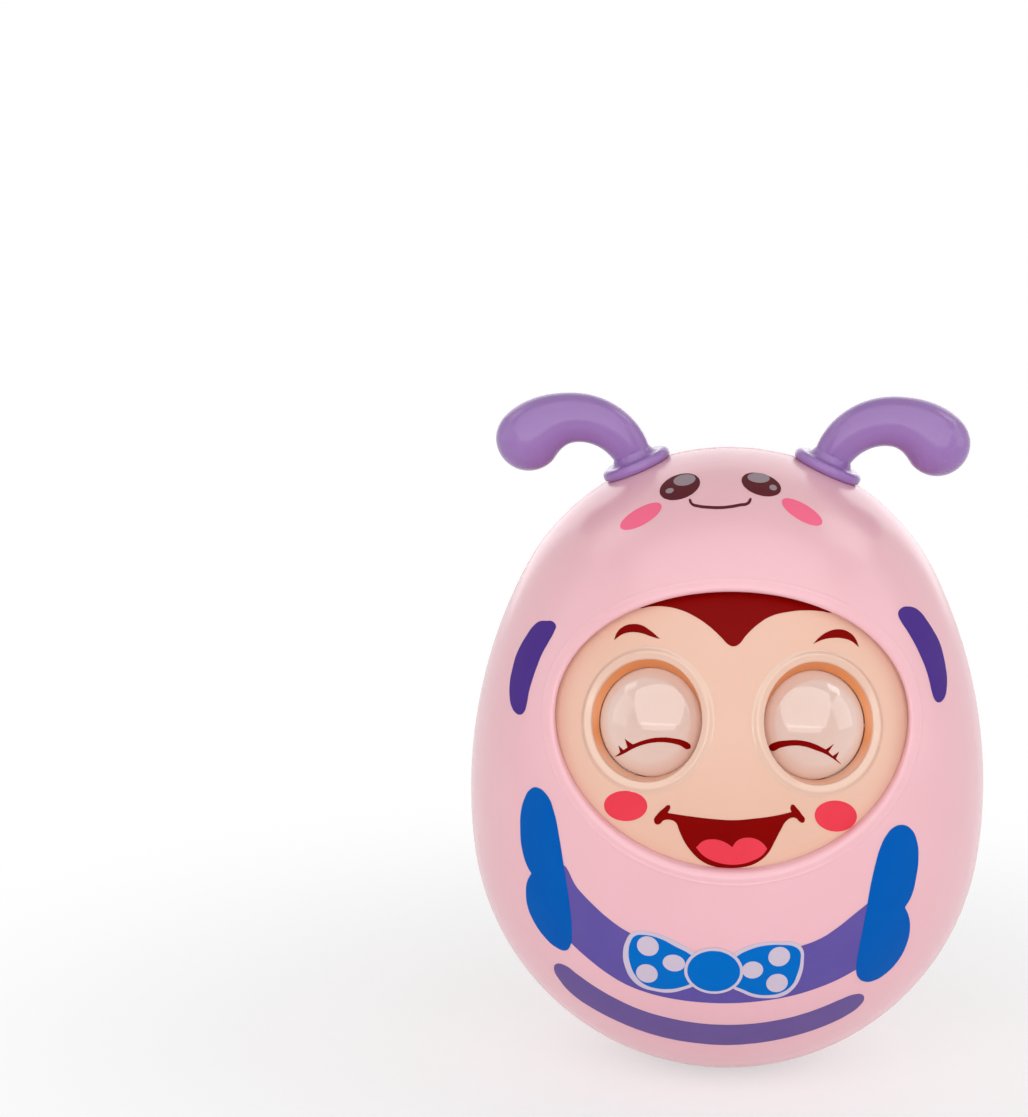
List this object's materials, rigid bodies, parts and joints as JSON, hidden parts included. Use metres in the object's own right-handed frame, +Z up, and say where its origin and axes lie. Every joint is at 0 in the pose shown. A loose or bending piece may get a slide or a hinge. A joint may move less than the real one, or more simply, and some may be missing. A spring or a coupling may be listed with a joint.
{
  "type": "roly-poly rattle",
  "caption": "Egg-shaped roly-poly bee rattle with a low weight, a recessed doll face with weighted blinking eyes, soft curled antennae and a bell with a swinging clapper inside.",
  "frame": {"origin": "middle of the flat foot that the egg stands on", "axes": "+Z up, the face looks along -Y, +X to the right of someone facing the toy"},
  "size_m": [0.096, 0.0959, 0.1264],
  "materials": {
    "pink_abs": "gloss moulded ABS",
    "peach_abs": "satin moulded ABS",
    "lid_abs": "gloss moulded ABS",
    "eye_abs": "gloss moulded ABS",
    "purple_pvc": "soft moulded PVC",
    "steel": "zinc-plated steel",
    "iron": "as cast",
    "brass": "spun brass",
    "print_ink": "pad-printed gloss ink"
  },
  "bodies": {
    "body": {"front_shell": "pink_abs", "rear_shell": "pink_abs", "shell_screws": "steel", "face_plate": "peach_abs", "face_screws": "steel", "axle_keeper": "peach_abs", "keeper_screws": "steel", "antenna_left": "purple_pvc", "antenna_right": "purple_pvc", "base_weight": "iron", "weight_screws": "steel", "bell_bracket": "steel", "bracket_screws": "steel", "bell": "brass", "bell_bolt": "steel", "bell_spacer": "steel", "bell_nut": "steel"},
    "eye_left": {"eye_white_left": "eye_abs", "eyelid_left": "lid_abs", "eye_axle_left": "steel", "eye_weight_left": "steel"},
    "eye_right": {"eye_white_right": "eye_abs", "eyelid_right": "lid_abs", "eye_axle_right": "steel", "eye_weight_right": "steel"},
    "clapper": {"clapper": "steel", "clapper_pin": "steel"}
  },
  "joints": [
    {"name": "eye_left_turn", "type": "hinge", "parent": "body", "child": "eye_left", "pos_m": [-0.0132, -0.0324, 0.07203], "axis": [-1, 0, 0], "range_deg": [0, 80]},
    {"name": "eye_right_turn", "type": "hinge", "parent": "body", "child": "eye_right", "pos_m": [0.0132, -0.0324, 0.07203], "axis": [-1, 0, 0], "range_deg": [0, 80]},
    {"name": "clapper_swing", "type": "hinge", "parent": "body", "child": "clapper", "pos_m": [0, 0.008, 0.049], "axis": [1, 0, 0], "range_deg": [-42, 42]}
  ]
}
